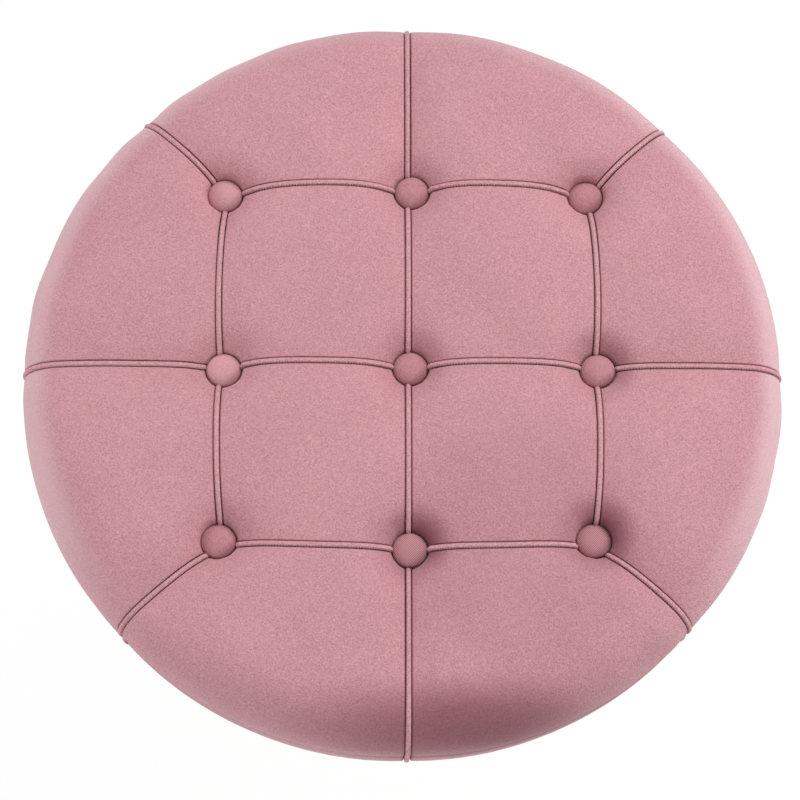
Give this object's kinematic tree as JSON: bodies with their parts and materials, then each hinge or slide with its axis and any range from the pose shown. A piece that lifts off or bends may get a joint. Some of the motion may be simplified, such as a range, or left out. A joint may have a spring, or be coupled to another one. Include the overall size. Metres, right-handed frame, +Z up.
{
  "type": "vanity stool",
  "caption": "Round button-tufted velvet vanity stool: padded crown of sewn panels with covered buttons, drawn-in side, and slim tapered metal legs.",
  "frame": {"origin": "on the floor, under the middle of the round seat", "axes": "+Z up, +X to the right and -Y towards the front, as the picture shows the seat"},
  "size_m": [0.432, 0.432, 0.45],
  "materials": {
    "velvet": "short-pile velvet, dusty pink",
    "button_velvet": "the same velvet, stretched over the buttons",
    "cord_velvet": "the same velvet, folded round the seam cord",
    "wadding": "white polyester wadding",
    "foam": "cut polyurethane foam",
    "plywood": "bare plywood",
    "twine": "waxed tufting twine",
    "steel_wire": "bright wire",
    "zinc_steel": "zinc plated",
    "black_steel": "black powder coat",
    "gold_metal": "brushed gold plating",
    "dust_cloth": "black non-woven cloth",
    "glide_plastic": "black plastic"
  },
  "bodies": {
    "root": {"button_c": "button_velvet", "button_e": "button_velvet", "button_eyes": "steel_wire", "button_n": "button_velvet", "button_ne": "button_velvet", "button_nw": "button_velvet", "button_s": "button_velvet", "button_se": "button_velvet", "button_sw": "button_velvet", "button_w": "button_velvet", "crown_wadding": "wadding", "dust_cover": "dust_cloth", "dust_cover_staples": "zinc_steel", "foam_core": "foam", "glide_back_left": "glide_plastic", "glide_back_right": "glide_plastic", "glide_front_left": "glide_plastic", "glide_front_right": "glide_plastic", "hem_staples": "zinc_steel", "leg_back_left": "gold_metal", "leg_back_right": "gold_metal", "leg_front_left": "gold_metal", "leg_front_right": "gold_metal", "leg_nuts": "zinc_steel", "leg_plate_back_left": "black_steel", "leg_plate_back_right": "black_steel", "leg_plate_front_left": "black_steel", "leg_plate_front_right": "black_steel", "leg_studs": "zinc_steel", "plate_screws": "zinc_steel", "seam_cords": "cord_velvet", "seat_board": "plywood", "side_band_ene": "velvet", "side_band_ese": "velvet", "side_band_nne": "velvet", "side_band_nnw": "velvet", "side_band_sse": "velvet", "side_band_ssw": "velvet", "side_band_wnw": "velvet", "side_band_wsw": "velvet", "tufting_twine": "twine", "twine_washers": "zinc_steel", "velvet_inner_ne": "velvet", "velvet_inner_nw": "velvet", "velvet_inner_se": "velvet", "velvet_inner_sw": "velvet", "velvet_outer_ene": "velvet", "velvet_outer_ese": "velvet", "velvet_outer_nne": "velvet", "velvet_outer_nnw": "velvet", "velvet_outer_sse": "velvet", "velvet_outer_ssw": "velvet", "velvet_outer_wnw": "velvet", "velvet_outer_wsw": "velvet"}
  },
  "joints": []
}
